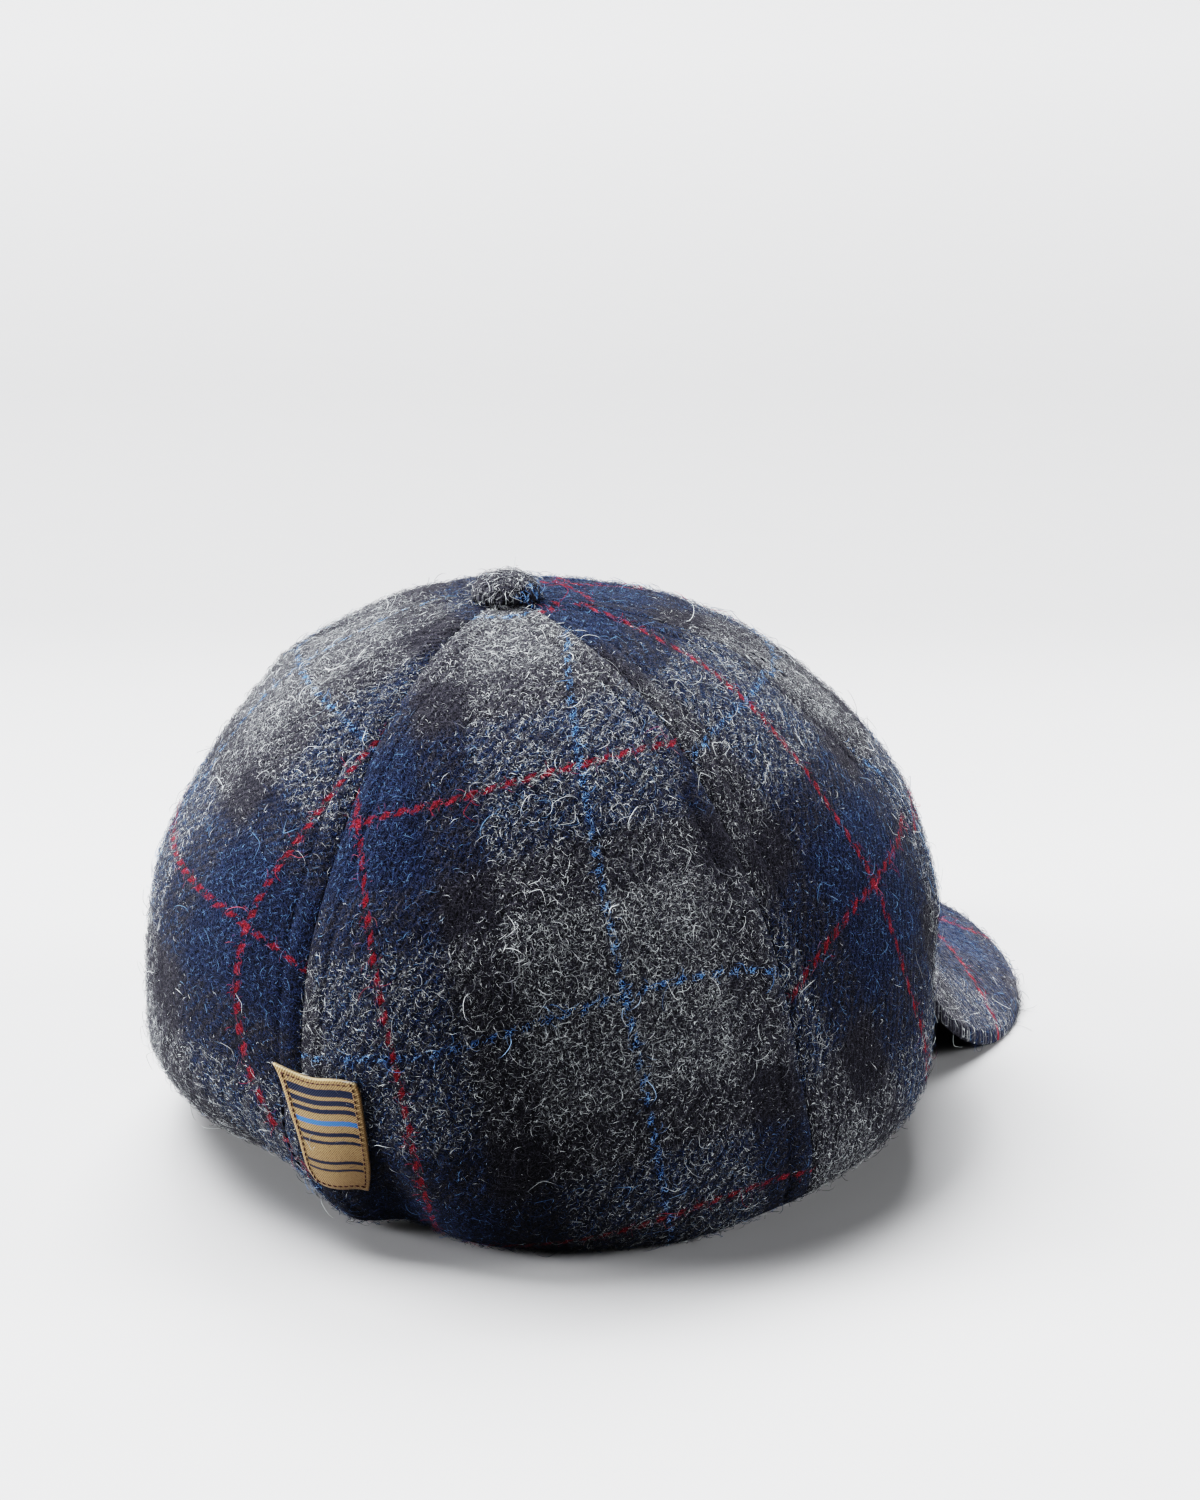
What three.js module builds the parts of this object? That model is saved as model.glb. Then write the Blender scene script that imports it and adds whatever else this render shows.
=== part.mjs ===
// A fitted cap: six panels of plaid wool sewn into a soft crown, a covered button where they meet,
// a curved peak, an inner band round the rim and a small woven label over the back seam.
// Millimetres, +Z up. The wearer faces -Y, with the left hand on +X. The cap lies on z = 0, and the
// origin is under the middle of its bounding box. A turn is an angle in degrees round the crown,
// from the middle of the front towards the wearer's left, and a rise runs from 0 at the rim to 1 at
// the top.
import * as THREE from "three";

// Driving dimensions
const clothThickness = 2.2;
const seamGap = 0.4;
const touchGap = 0.35;
const crownCentre = { x: -0.2, y: 23.4 };
const panelFullness = 2.2;
const topRise = 0.982;
const bandGap = 0.6;
const bandThickness = 1.6;
const bandRise = { bottom: 0.012, top: 0.165 };
const peakThickness = 4.4;
const peakReach = 57;
const peakHalfWidth = 82;
const peakHalfTurn = 50;
const peakSquareness = 2.05;
const peakTuck = 1.6;
const peakEndLength = 3;
const peakEndPower = { side: 8, height: 12 };
const peakTipHeight = 8.5;
const peakCorner = { x: 62, height: 2.4, archPower: 2.2 };
const peakEdge = { roundedFrom: 0.93, thinning: 0.8, leastHeight: 1.2 };
const labelThickness = 0.8;
const labelStandOff = 0.3;
const labelPatch = { fromTurn: 176, toTurn: 188.2, fromRise: 0.066, toRise: 0.23, lean: 1 };
const buttonRadius = 7.8;
const buttonHeight = 5.6;
const buttonShank = { radius: 1.4, length: 3.2 };

// Level sections of the crown, from the rim up. A section is a half oval in front and another behind,
// and setBack is how far its middle lies behind the middle of the rim.
const sections = [
  { height: 0, halfWidth: 87, frontReach: 93, backReach: 86, setBack: 0 },
  { height: 9, halfWidth: 91, frontReach: 96.5, backReach: 93.5, setBack: 1 },
  { height: 25, halfWidth: 91.5, frontReach: 95.5, backReach: 98.5, setBack: 3 },
  { height: 64, halfWidth: 83.5, frontReach: 86.5, backReach: 92.5, setBack: 8 },
  { height: 90, halfWidth: 69, frontReach: 72, backReach: 74.5, setBack: 13 },
  { height: 109, halfWidth: 52.5, frontReach: 55.5, backReach: 54.5, setBack: 17.5 },
  { height: 120, halfWidth: 35, frontReach: 37, backReach: 35, setBack: 20.5 },
  { height: 126, halfWidth: 17, frontReach: 18, backReach: 16.5, setBack: 22 },
  { height: 128, halfWidth: 0, frontReach: 0, backReach: 0, setBack: 22.5 },
];

// How far the rim lifts off the surface round the crown. It rests at the back right, at the left side
// and on the corners of the peak.
const rim = [
  { turn: 0, lift: 27 },
  { turn: 32, lift: 25 },
  { turn: 62, lift: 20 },
  { turn: 85, lift: 7 },
  { turn: 100, lift: 0 },
  { turn: 112, lift: 0 },
  { turn: 128, lift: 4.5 },
  { turn: 148, lift: 9.2 },
  { turn: 165, lift: 9.4 },
  { turn: 174, lift: 6 },
  { turn: 180, lift: 2.4 },
  { turn: 188, lift: 1.6 },
  { turn: 196, lift: 0 },
  { turn: 228, lift: 0 },
  { turn: 250, lift: 4.5 },
  { turn: 270, lift: 8.5 },
  { turn: 285, lift: 13 },
  { turn: 300, lift: 21 },
  { turn: 330, lift: 25.5 },
];

// Seams, and the panel that follows each. A seam may drift between the rim and the top of the crown.
const seams = [
  { rimTurn: 0, topTurn: 0, panelAfter: "panel_front_left" },
  { rimTurn: 64, topTurn: 60, panelAfter: "panel_side_left" },
  { rimTurn: 109, topTurn: 96, panelAfter: "panel_back_left" },
  { rimTurn: 179, topTurn: 181, panelAfter: "panel_back_right" },
  { rimTurn: 250, topTurn: 250, panelAfter: "panel_side_right" },
  { rimTurn: 296, topTurn: 297, panelAfter: "panel_front_right" },
];

// Dents (minus) and swells (plus) of the soft cloth. turnSpread and riseSpread are how far each
// reaches from its middle before it has faded to about a third.
const folds = [
  { turn: 106, rise: 0.7, turnSpread: 20, riseSpread: 0.1, push: 2.6 },
  { turn: 297, rise: 0.08, turnSpread: 18, riseSpread: 0.15, push: -4.6 },
  { turn: 191, rise: 0.06, turnSpread: 5, riseSpread: 0.13, push: -3 },
  { turn: 167, rise: 0.02, turnSpread: 8, riseSpread: 0.08, push: -3 },
  { turn: 178, rise: 0.45, turnSpread: 9, riseSpread: 0.22, push: -2 },
  { turn: 228, rise: 0.55, turnSpread: 16, riseSpread: 0.15, push: 1.2 },
  { turn: 52, rise: 0.3, turnSpread: 14, riseSpread: 0.16, push: -2.4 },
  { turn: 20, rise: 0.75, turnSpread: 14, riseSpread: 0.13, push: -1.8 },
];

// Rows and columns of the faceted walls
const panelRises = [
  0, 0.03, 0.075, 0.13, 0.2, 0.27, 0.34, 0.41, 0.48, 0.55, 0.62, 0.69, 0.76, 0.83, 0.9, 0.95, topRise,
];
const panelColumns = 15;
const peakColumns = 30;
const peakRows = [0, 0.14, 0.3, 0.46, 0.62, 0.78, 0.9, 0.97, 1];
const labelColumns = 6;
const labelRows = 6;
const buttonSides = 20;

const radians = THREE.MathUtils.degToRad;

// A smooth curve through values at rising stations; its slope at each comes from the stations beside it.
function smoothCurve(stations, values) {
  const last = stations.length - 1;
  const slope = (i) => {
    const before = Math.max(i - 1, 0);
    const after = Math.min(i + 1, last);
    return (values[after] - values[before]) / (stations[after] - stations[before]);
  };
  return (at) => {
    const below = stations.findLastIndex((station) => station <= at);
    const i = THREE.MathUtils.clamp(below, 0, last - 1);
    const step = stations[i + 1] - stations[i];
    const u = (at - stations[i]) / step;
    const ends = (2 * u ** 3 - 3 * u ** 2 + 1) * values[i] + (3 * u ** 2 - 2 * u ** 3) * values[i + 1];
    const slopes = (u ** 3 - 2 * u ** 2 + u) * slope(i) + (u ** 3 - u ** 2) * slope(i + 1);
    return ends + step * slopes;
  };
}

// The rise of each section, by the length of the side profile up to it
function sectionRises() {
  const lengths = [0];
  for (let i = 1; i < sections.length; i++) {
    const wide = sections[i].halfWidth - sections[i - 1].halfWidth;
    const high = sections[i].height - sections[i - 1].height;
    lengths.push(lengths[i - 1] + Math.hypot(wide, high));
  }
  return lengths.map((length) => length / lengths.at(-1));
}

const rises = sectionRises();
const profile = Object.fromEntries(
  Object.keys(sections[0]).map((size) => [size, smoothCurve(rises, sections.map((row) => row[size]))]),
);

// The rim's rows go once round and a little over, so that the curve closes on itself.
const rimRound = [
  ...rim.slice(-2).map((row) => ({ turn: row.turn - 360, lift: row.lift })),
  ...rim,
  ...rim.slice(0, 2).map((row) => ({ turn: row.turn + 360, lift: row.lift })),
];
const rimCurve = smoothCurve(rimRound.map((row) => row.turn), rimRound.map((row) => row.lift));
const rimLift = (turn) => Math.max(0, rimCurve(THREE.MathUtils.euclideanModulo(turn, 360)));

// The turn of a seam at a rise. The seam after the last one is the first again, a full turn on.
function seamTurn(index, rise) {
  const { rimTurn, topTurn } = seams[index % seams.length];
  return THREE.MathUtils.lerp(rimTurn, topTurn, rise) + 360 * Math.floor(index / seams.length);
}

// How far the cloth stands out from the plain ovals: each panel is a little full between its seams.
function standOut(turn, rise) {
  const round = THREE.MathUtils.euclideanModulo(turn, 360);
  const index = seams.findLastIndex((_, i) => seamTurn(i, rise) <= round);
  const across = THREE.MathUtils.inverseLerp(seamTurn(index, rise), seamTurn(index + 1, rise), round);
  let out = panelFullness * Math.sin(Math.PI * across) * Math.sin(Math.PI * rise) ** 0.8;
  for (const fold of folds) {
    const aside = THREE.MathUtils.euclideanModulo(round - fold.turn + 180, 360) - 180;
    const fade = (aside / fold.turnSpread) ** 2 + ((rise - fold.rise) / fold.riseSpread) ** 2;
    out += fold.push * Math.exp(-fade);
  }
  return out;
}

// A point on the outside of the crown
function crownPoint(turn, rise) {
  const angle = radians(turn);
  const reach = Math.cos(angle) > 0 ? profile.frontReach(rise) : profile.backReach(rise);
  const out = standOut(turn, rise);
  return new THREE.Vector3(
    (profile.halfWidth(rise) + out) * Math.sin(angle) + crownCentre.x,
    profile.setBack(rise) - (reach + out) * Math.cos(angle) + crownCentre.y,
    profile.height(rise) + rimLift(turn) * (1 - rise) ** 1.5,
  );
}

// The way out of the cloth at a point. It turns level at the rim, so that the rim's edge is flat.
function crownNormal(turn, rise) {
  const step = { turn: 0.6, rise: 0.004 };
  const low = Math.max(rise - step.rise, 0);
  const high = Math.min(rise + step.rise, 1);
  const round = crownPoint(turn + step.turn, rise).sub(crownPoint(turn - step.turn, rise));
  const up = crownPoint(turn, high).sub(crownPoint(turn, low));
  const normal = round.cross(up).normalize();
  normal.z *= THREE.MathUtils.smoothstep(rise, 0, 0.07);
  return normal.normalize();
}

// The same point, moved out of the cloth, or into it where the distance is negative
function crownOffset(turn, rise, distance) {
  return crownPoint(turn, rise).addScaledVector(crownNormal(turn, rise), distance);
}

// Half the gap at a seam, as a turn
function halfGapTurn(turn, rise) {
  const middle = new THREE.Vector2(crownCentre.x, profile.setBack(rise) + crownCentre.y);
  const point = crownPoint(turn, rise);
  return THREE.MathUtils.radToDeg(seamGap / 2 / middle.distanceTo(new THREE.Vector2(point.x, point.y)));
}

// Rows of points, one for each station up, each with a point for every step across
function pointGrid(stations, columns, pointAt) {
  return stations.map((station) =>
    Array.from({ length: columns + 1 }, (_, column) => pointAt(column / columns, station)),
  );
}

// A closed wall between two grids of the same size. A ring's last column is its first one.
function closedWall(outside, inside, isRing = false) {
  const rows = outside.length;
  const columns = outside[0].length - (isRing ? 1 : 0);
  const corners = [];
  for (const grid of [outside, inside])
    for (const row of grid)
      for (const point of row.slice(0, columns)) corners.push(...point.toArray());
  const outer = (row, column) => row * columns + (column % columns);
  const inner = (row, column) => outer(row, column) + rows * columns;
  const faces = [];
  const quad = (a, b, c, d) => faces.push(a, b, c, a, c, d);
  const spans = isRing ? columns : columns - 1;
  for (let column = 0; column < spans; column++) {
    const next = column + 1;
    for (let row = 0; row < rows - 1; row++) {
      quad(outer(row, column), outer(row, next), outer(row + 1, next), outer(row + 1, column));
      quad(inner(row, next), inner(row, column), inner(row + 1, column), inner(row + 1, next));
    }
    quad(inner(0, column), inner(0, next), outer(0, next), outer(0, column));
    quad(outer(rows - 1, column), outer(rows - 1, next), inner(rows - 1, next), inner(rows - 1, column));
  }
  for (let row = 0; row < rows - 1 && !isRing; row++) {
    const end = columns - 1;
    quad(inner(row, 0), outer(row, 0), outer(row + 1, 0), inner(row + 1, 0));
    quad(outer(row, end), inner(row, end), inner(row + 1, end), outer(row + 1, end));
  }
  const geometry = new THREE.BufferGeometry();
  geometry.setAttribute("position", new THREE.Float32BufferAttribute(corners, 3));
  geometry.setIndex(faces);
  geometry.computeVertexNormals();
  return geometry;
}

// The panel after a seam, with half a seam gap left at each side
function panelGeometry(index) {
  const layer = (distance) =>
    pointGrid(panelRises, panelColumns, (across, rise) => {
      const fromSeam = seamTurn(index, rise);
      const toSeam = seamTurn(index + 1, rise);
      const from = fromSeam + halfGapTurn(fromSeam, rise);
      const to = toSeam - halfGapTurn(toSeam, rise);
      return crownOffset(THREE.MathUtils.lerp(from, to, across), rise, distance);
    });
  return closedWall(layer(0), layer(-clothThickness));
}

// The inner band, a closed ring a touch inside the panels. Its columns stand behind theirs.
function bandGeometry() {
  const between = panelRises.filter((rise) => rise > bandRise.bottom && rise < bandRise.top);
  const bandRises = [bandRise.bottom, ...between, bandRise.top];
  const columns = seams.length * panelColumns;
  const layer = (distance) =>
    pointGrid(bandRises, columns, (round, rise) => {
      const column = Math.round(round * columns);
      const index = Math.floor(column / panelColumns);
      const across = (column % panelColumns) / panelColumns;
      const turn = THREE.MathUtils.lerp(seamTurn(index, rise), seamTurn(index + 1, rise), across);
      return crownOffset(turn, rise, distance);
    });
  const outside = -clothThickness - bandGap;
  return closedWall(layer(outside), layer(outside - bandThickness), true);
}

// A point in the middle of the peak's thickness: across runs from -1 at the wearer's right to 1, and
// out from 0 at the crown to 1 at the edge. The edge is a half oval that turns in at both ends.
function peakPoint(across, out) {
  const turn = across * peakHalfTurn;
  const outward = new THREE.Vector3(Math.sin(radians(turn)), -Math.cos(radians(turn)), 0);
  const root = crownPoint(turn, 0).addScaledVector(outward, -peakTuck);
  root.z -= touchGap + peakThickness / 2;
  const endTurn = radians(peakHalfTurn);
  const backY = crownCentre.y - sections[0].frontReach * Math.cos(endTurn);
  const tipY = crownCentre.y - sections[0].frontReach - peakReach;
  const sideways = Math.sin((across * Math.PI) / 2);
  const forward = Math.cos((across * Math.PI) / 2);
  const edge = new THREE.Vector3(
    crownCentre.x + peakHalfWidth * Math.sign(sideways) * Math.abs(sideways) ** (2 / peakSquareness),
    THREE.MathUtils.lerp(backY, tipY, Math.max(forward, 0) ** (2 / peakSquareness)),
    0,
  );
  const end = root.clone().addScaledVector(outward, peakEndLength);
  edge.lerp(end, Math.abs(across) ** peakEndPower.side);
  const aside = Math.abs(edge.x - crownCentre.x) / peakCorner.x;
  const arch = THREE.MathUtils.lerp(peakTipHeight, peakCorner.height, aside ** peakCorner.archPower);
  edge.z = THREE.MathUtils.lerp(arch, end.z, Math.abs(across) ** peakEndPower.height);
  return root.lerp(edge, out);
}

// The peak, thinner at its rounded edge, and flat where it rests on the surface
function peakGeometry() {
  const layer = (side) =>
    pointGrid(peakRows.toReversed(), peakColumns, (across, out) => {
      const point = peakPoint(2 * across - 1, out);
      const rounding = Math.max(0, (out - peakEdge.roundedFrom) / (1 - peakEdge.roundedFrom));
      point.z += side * (peakThickness / 2) * Math.sqrt(1 - peakEdge.thinning * rounding ** 2);
      point.z = Math.max(point.z, side > 0 ? peakEdge.leastHeight : 0);
      return point;
    });
  return closedWall(layer(1), layer(-1));
}

// The label, a small patch that lies on the crown over the back seam and leans a little
function labelGeometry() {
  const { fromTurn, toTurn, fromRise, toRise, lean } = labelPatch;
  const stations = Array.from({ length: labelRows + 1 }, (_, i) => i / labelRows);
  const layer = (distance) =>
    pointGrid(stations, labelColumns, (across, up) => {
      const turn = THREE.MathUtils.lerp(fromTurn, toTurn, across) - lean * (up - 0.5);
      return crownOffset(turn, THREE.MathUtils.lerp(fromRise, toRise, up), distance);
    });
  return closedWall(layer(labelStandOff + labelThickness), layer(labelStandOff));
}

// The button, a flat dome on a shank that goes down where the six panels meet
function buttonGeometry() {
  const dome = Array.from({ length: 6 }, (_, i) => radians(15 + 75 * (i / 5)));
  const outline = [
    new THREE.Vector2(0, -buttonShank.length),
    new THREE.Vector2(buttonShank.radius, -buttonShank.length),
    new THREE.Vector2(buttonShank.radius, 0),
    new THREE.Vector2(buttonRadius * 0.8, 0),
    ...dome.map((angle) => new THREE.Vector2(buttonRadius * Math.cos(angle), buttonHeight * Math.sin(angle))),
  ];
  outline.at(-1).x = 0;
  return new THREE.LatheGeometry(outline, buttonSides).rotateX(Math.PI / 2);
}

const wool = new THREE.MeshStandardMaterial({ color: 0x4b525f, roughness: 0.95, metalness: 0 });
const darkWool = new THREE.MeshStandardMaterial({ color: 0x3d3f45, roughness: 0.95, metalness: 0 });
const bandCloth = new THREE.MeshStandardMaterial({ color: 0x2a2c32, roughness: 0.9, metalness: 0 });
const labelCloth = new THREE.MeshStandardMaterial({ color: 0xb2946c, roughness: 0.8, metalness: 0 });

function namedMesh(name, geometry, material) {
  const mesh = new THREE.Mesh(geometry, material);
  mesh.name = name;
  return mesh;
}

const button = namedMesh("button", buttonGeometry(), darkWool);
button.position.copy(crownPoint(0, 1));
button.position.z += touchGap;

const cap = new THREE.Group();
seams.forEach(({ panelAfter }, index) => cap.add(namedMesh(panelAfter, panelGeometry(index), wool)));
cap.add(button);
cap.add(namedMesh("peak", peakGeometry(), wool));
cap.add(namedMesh("sweatband", bandGeometry(), bandCloth));
cap.add(namedMesh("label", labelGeometry(), labelCloth));

export default cap;
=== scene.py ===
import math

import bpy
import numpy as np
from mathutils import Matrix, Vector, noise


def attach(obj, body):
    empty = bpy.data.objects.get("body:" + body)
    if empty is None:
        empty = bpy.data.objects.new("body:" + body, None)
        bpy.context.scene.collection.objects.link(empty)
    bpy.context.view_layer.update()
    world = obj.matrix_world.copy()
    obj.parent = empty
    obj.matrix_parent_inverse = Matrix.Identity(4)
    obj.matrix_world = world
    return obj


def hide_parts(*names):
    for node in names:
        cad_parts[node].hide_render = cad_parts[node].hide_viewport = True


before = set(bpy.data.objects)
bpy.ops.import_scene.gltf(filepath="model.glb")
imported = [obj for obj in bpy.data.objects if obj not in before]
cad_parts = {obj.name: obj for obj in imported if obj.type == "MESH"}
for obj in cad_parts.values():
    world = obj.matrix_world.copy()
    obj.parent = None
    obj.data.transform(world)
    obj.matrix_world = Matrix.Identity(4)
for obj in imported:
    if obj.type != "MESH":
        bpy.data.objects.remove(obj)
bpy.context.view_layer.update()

# Crown panels
# The crown is six panels of thick brushed wool twill, cut from one length of plaid and sewn side to side.
# Their seam edges are turned in and stitched down on both sides, and the rim edge is folded under.
# Lengths are in millimetres until a mesh is made. A turn goes round the crown in degrees from the middle
# of the front towards the wearer's left, and a rise goes from 0 at the rim to 1 at the top.
METRES = 0.001
CLOTH_THICKNESS = 2.2
CROWN_CENTRE = (-0.2, 23.4)
PANEL_FULLNESS = {"height": 2.2, "power": 0.8}
RIM_FADE_POWER = 1.5
TOP_RISE = 0.982
PROBE = {"turn": 0.6, "rise": 0.004}
LEVEL_RISE = 0.07


def table(columns, *rows):
    """Rows of numbers, kept as one array under each column's name."""
    return dict(zip(columns.split(), np.array(rows, float).T))


SECTIONS = table(
    "height half_width front_reach back_reach set_back",
    (0, 87, 93, 86, 0),
    (9, 91, 96.5, 93.5, 1),
    (25, 91.5, 95.5, 98.5, 3),
    (64, 83.5, 86.5, 92.5, 8),
    (90, 69, 72, 74.5, 13),
    (109, 52.5, 55.5, 54.5, 17.5),
    (120, 35, 37, 35, 20.5),
    (126, 17, 18, 16.5, 22),
    (128, 0, 0, 0, 22.5),
)
RIM = table(
    "turn lift",
    (0, 27), (32, 25), (62, 20), (85, 7), (100, 0), (112, 0), (128, 4.5),
    (148, 9.2), (165, 9.4), (174, 5.2), (180, 1.4), (188, 3), (196, 1.2), (206, 0),
    (228, 0), (250, 4.5), (270, 8.5), (285, 13), (300, 21), (330, 25.5),
)
SEAMS = table("rim_turn top_turn", (0, 0), (64, 60), (109, 96), (179, 181), (250, 250), (296, 297))
FOLDS = table(
    "turn rise turn_spread rise_spread push",
    (106, 0.7, 20, 0.1, 2.6),
    (297, 0.08, 18, 0.15, -4.6),
    (191, 0.06, 5, 0.13, -3),
    (167, 0.02, 8, 0.08, -3),
    (178, 0.45, 9, 0.22, -0.8),
    (228, 0.55, 16, 0.15, 1.2),
    (52, 0.3, 14, 0.16, -2.4),
    (20, 0.75, 14, 0.13, -1.8),
    (139, 0.54, 12, 0.08, -1.5),
    (114, 0.72, 9, 0.04, 1.6),
    (107, 0.84, 9, 0.04, -1.5),
    (336, 0.79, 8, 0.05, 1.6),
    (302, 0.5, 14, 0.13, -1.6),
    (300, 0.2, 10, 0.06, 1),
    (294, 0.115, 9, 0.035, -2.2),
)
PANELS = ("front_left", "side_left", "back_left", "back_right", "side_right", "front_right")


def smooth_curve(stations, values):
    """A curve through values at rising stations; its slope at each comes from the stations beside it."""
    count = len(stations)
    before = np.maximum(np.arange(count) - 1, 0)
    after = np.minimum(np.arange(count) + 1, count - 1)
    slopes = (values[after] - values[before]) / (stations[after] - stations[before])

    def at(place):
        i = np.clip(np.searchsorted(stations, place, side="right") - 1, 0, count - 2)
        step = stations[i + 1] - stations[i]
        u = (place - stations[i]) / step
        ends = (2 * u**3 - 3 * u**2 + 1) * values[i] + (3 * u**2 - 2 * u**3) * values[i + 1]
        return ends + step * ((u**3 - 2 * u**2 + u) * slopes[i] + (u**3 - u**2) * slopes[i + 1])

    return at


side_lengths = np.hypot(np.diff(SECTIONS["half_width"]), np.diff(SECTIONS["height"]))
section_rises = np.concatenate([[0], np.cumsum(side_lengths)]) / side_lengths.sum()
profile = {name: smooth_curve(section_rises, sizes) for name, sizes in SECTIONS.items()}
rim_curve = smooth_curve(
    np.concatenate([RIM["turn"][-2:] - 360, RIM["turn"], RIM["turn"][:2] + 360]),
    np.concatenate([RIM["lift"][-2:], RIM["lift"], RIM["lift"][:2]]),
)


def seam_turn(index, rise):
    """The turn of a seam at a rise; seam 6 is seam 0 again, a full turn on."""
    low, high = (SEAMS[name][index % 6] for name in ("rim_turn", "top_turn"))
    return low + (high - low) * rise + 360 * (index // 6)


def crown_point(turn, rise):
    """Points on the outside of the crown."""
    turn, rise = np.broadcast_arrays(np.asarray(turn, float), np.asarray(rise, float))
    full_turn = turn % 360
    edges = np.stack([seam_turn(index, rise) for index in range(7)])
    index = (edges[:-1] <= full_turn).sum(0)[None] - 1
    low = np.take_along_axis(edges, index, 0)[0]
    high = np.take_along_axis(edges, index + 1, 0)[0]
    across = (full_turn - low) / (high - low)
    upright = np.sin(np.pi * np.clip(rise, 0, 1)) ** PANEL_FULLNESS["power"]
    out = PANEL_FULLNESS["height"] * np.sin(np.pi * across) * upright
    for fold_turn, fold_rise, turn_spread, rise_spread, push in zip(*FOLDS.values()):
        aside = (full_turn - fold_turn + 180) % 360 - 180
        out = out + push * np.exp(-((aside / turn_spread) ** 2) - ((rise - fold_rise) / rise_spread) ** 2)
    sine, cosine = np.sin(np.radians(turn)), np.cos(np.radians(turn))
    reach = np.where(cosine > 0, profile["front_reach"](rise), profile["back_reach"](rise))
    x = (profile["half_width"](rise) + out) * sine + CROWN_CENTRE[0]
    y = profile["set_back"](rise) - (reach + out) * cosine + CROWN_CENTRE[1]
    lift = np.maximum(rim_curve(full_turn), 0)
    z = profile["height"](rise) + lift * (1 - np.minimum(rise, 1)) ** RIM_FADE_POWER
    return np.stack([x, y, z], -1)


def unit(vectors):
    return vectors / np.maximum(np.linalg.norm(vectors, axis=-1, keepdims=True), 1e-12)


def crown_out(turn, rise):
    """The way out of the cloth. It turns level at the rim."""
    turn, rise = np.broadcast_arrays(np.asarray(turn, float), np.asarray(rise, float))
    low, high = np.maximum(rise - PROBE["rise"], 0), np.minimum(rise + PROBE["rise"], 1)
    round_way = crown_point(turn + PROBE["turn"], rise) - crown_point(turn - PROBE["turn"], rise)
    up_way = crown_point(turn, high) - crown_point(turn, low)
    out = unit(np.cross(round_way, up_way))
    level = np.clip(rise / LEVEL_RISE, 0, 1)
    out[..., 2] *= level**2 * (3 - 2 * level)
    return unit(out)


def crown_offset(turn, rise, distance):
    return crown_point(turn, rise) + crown_out(turn, rise) * np.asarray(distance)[..., None]


# Where the plaid lies on each panel: the lean of its weave, the place of a red line each way from the
# middle of the panel's rim edge, and how the soft cloth has pulled the lines askew.
PLAID_REPEAT = 104.0
PLAID = table(
    "lean red_across red_up bow_across sway pinch bow_up droop arch stretch shear",
    (-1.5, -14, 55, 0, 0, 0, 0, 0, 0, 8, 0),
    (1, -22, 75, 0, 0, 0, 5, 0, 4, 8, -0.03),
    (-17, 15.5, 70, 1, 11, 0.4, -0.5, 1.5, 9, 10.5, -0.13),
    (8.5, -24.5, 115, -0.5, -3.5, 0, 5, 3.5, 3.5, 2.5, -0.145),
    (-3.5, -6, 65.5, -6.5, 4, 0, 10.5, -2.5, 6.5, 11, -0.19),
    (1.5, 12, 54, 0, 0, 0, 0, 0, 0, 8, 0),
)
PLAID_SPAN = {"middle": 80, "half_height": 60, "half_width": 40, "limit": 1.4, "stretch_limit": 0.8}


def plaid_place(index, across, up):
    """Where a point of a panel lies in the plaid, from its distance across from the middle and up."""
    row = {name: values[index] for name, values in PLAID.items()}
    sine, cosine = math.sin(math.radians(row["lean"])), math.cos(math.radians(row["lean"]))
    height = (up - PLAID_SPAN["middle"]) / PLAID_SPAN["half_height"]
    height = np.clip(height, -PLAID_SPAN["limit"], PLAID_SPAN["limit"])
    aside = across / PLAID_SPAN["half_width"]
    u = cosine * across + sine * up - row["red_across"]
    u = u + row["bow_across"] * height**2 + row["sway"] * height**3 + row["pinch"] * across * height
    v = cosine * up - sine * across + row["shear"] * across - row["red_up"]
    v = v + (row["bow_up"] + row["arch"] * height) * aside**2 + row["droop"] * aside**3
    v = v + row["stretch"] * np.minimum(height, PLAID_SPAN["stretch_limit"]) ** 2
    return np.stack([u, v], -1)


# Columns of a panel: fixed distances in from each seam, where the cloth rolls in, rides up over its
# own edge and is stitched down, and even steps between.
SEAM_STEPS = np.array([0, 0.4, 0.9, 1.5, 2.3, 3.3, 4.4, 5.1, 5.6, 6.0, 6.4, 6.9, 7.8, 9.2])
SEAM_SHARE = 0.42
SEAM_RELIEF = table("middle spread height", (3.2, 1.9, 0.3), (0, 0.6, -0.2), (6, 0.5, -0.25))
STITCH_FROM_SEAM = SEAM_RELIEF["middle"][-1]
WAVE_FADE = {"distance": 6, "least": 0.15}
MIDDLE_STEPS = 33
RIM_ROLL = {"rise": 0.011, "length": 2}
RIM_ROLL_ANGLES = (150, 120, 90, 60, 35, 15)
OUTSIDE_ROWS = 101
INSIDE_STEP = {"rows": 6, "columns": 4}
MEASURE_POINTS = {"across": 25, "up": 300}
SOFT_WAVES = table("length height", (34, 0.8), (13, 0.35), (5.5, 0.22))


def hump(distance, middle, spread):
    return np.exp(-(((distance - middle) / spread) ** 2))


def soft_waves(points):
    """Small swells of the soft cloth, from the place of each point."""
    flat = points.reshape(-1, 3)
    out = np.zeros(len(flat))
    for length, height in zip(*SOFT_WAVES.values()):
        out += [height * noise.noise(Vector(point / length)) for point in flat]
    return out.reshape(points.shape[:-1])


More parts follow.
